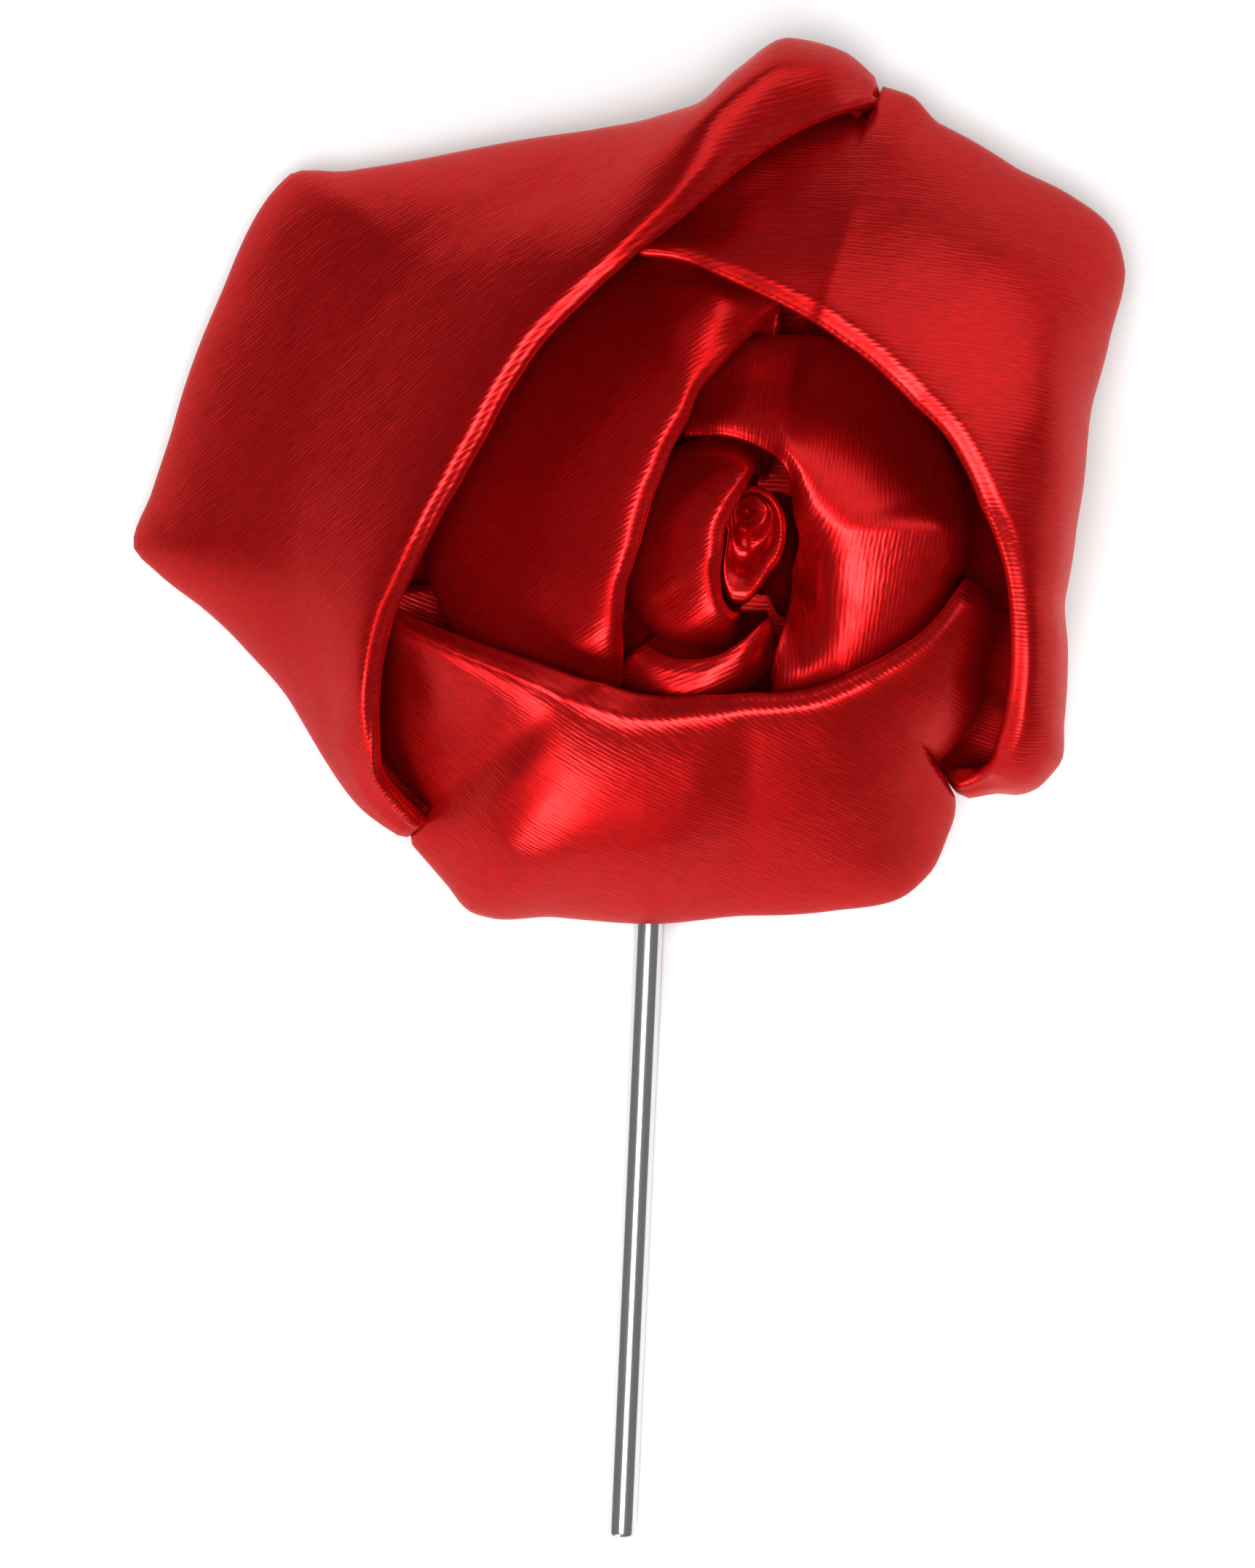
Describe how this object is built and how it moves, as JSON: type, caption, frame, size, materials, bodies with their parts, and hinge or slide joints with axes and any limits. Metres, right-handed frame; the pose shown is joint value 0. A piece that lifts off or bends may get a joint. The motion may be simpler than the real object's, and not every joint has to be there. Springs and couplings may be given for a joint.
{
  "type": "flower lapel pin",
  "caption": "Lapel pin with a rose folded from red satin ribbon on a round pad and a straight steel stick that goes through the cloth.",
  "frame": {"origin": "middle of the pad's flat back face, which lies on the surface", "axes": "+Z out of the rose's face, -Y along the stick to its end, +X to the right seen from the front"},
  "size_m": [0.0394, 0.0616, 0.0145],
  "materials": {
    "red_satin": "glossy woven satin ribbon",
    "steel": "polished wire"
  },
  "bodies": {
    "root": {"stick_pin": "steel", "outer_fold_left": "red_satin", "outer_fold_right": "red_satin", "outer_fold_bottom": "red_satin", "middle_fold_left": "red_satin", "middle_fold_right": "red_satin", "inner_fold_left": "red_satin", "inner_fold_bottom": "red_satin", "bud_roll": "red_satin"}
  },
  "joints": []
}
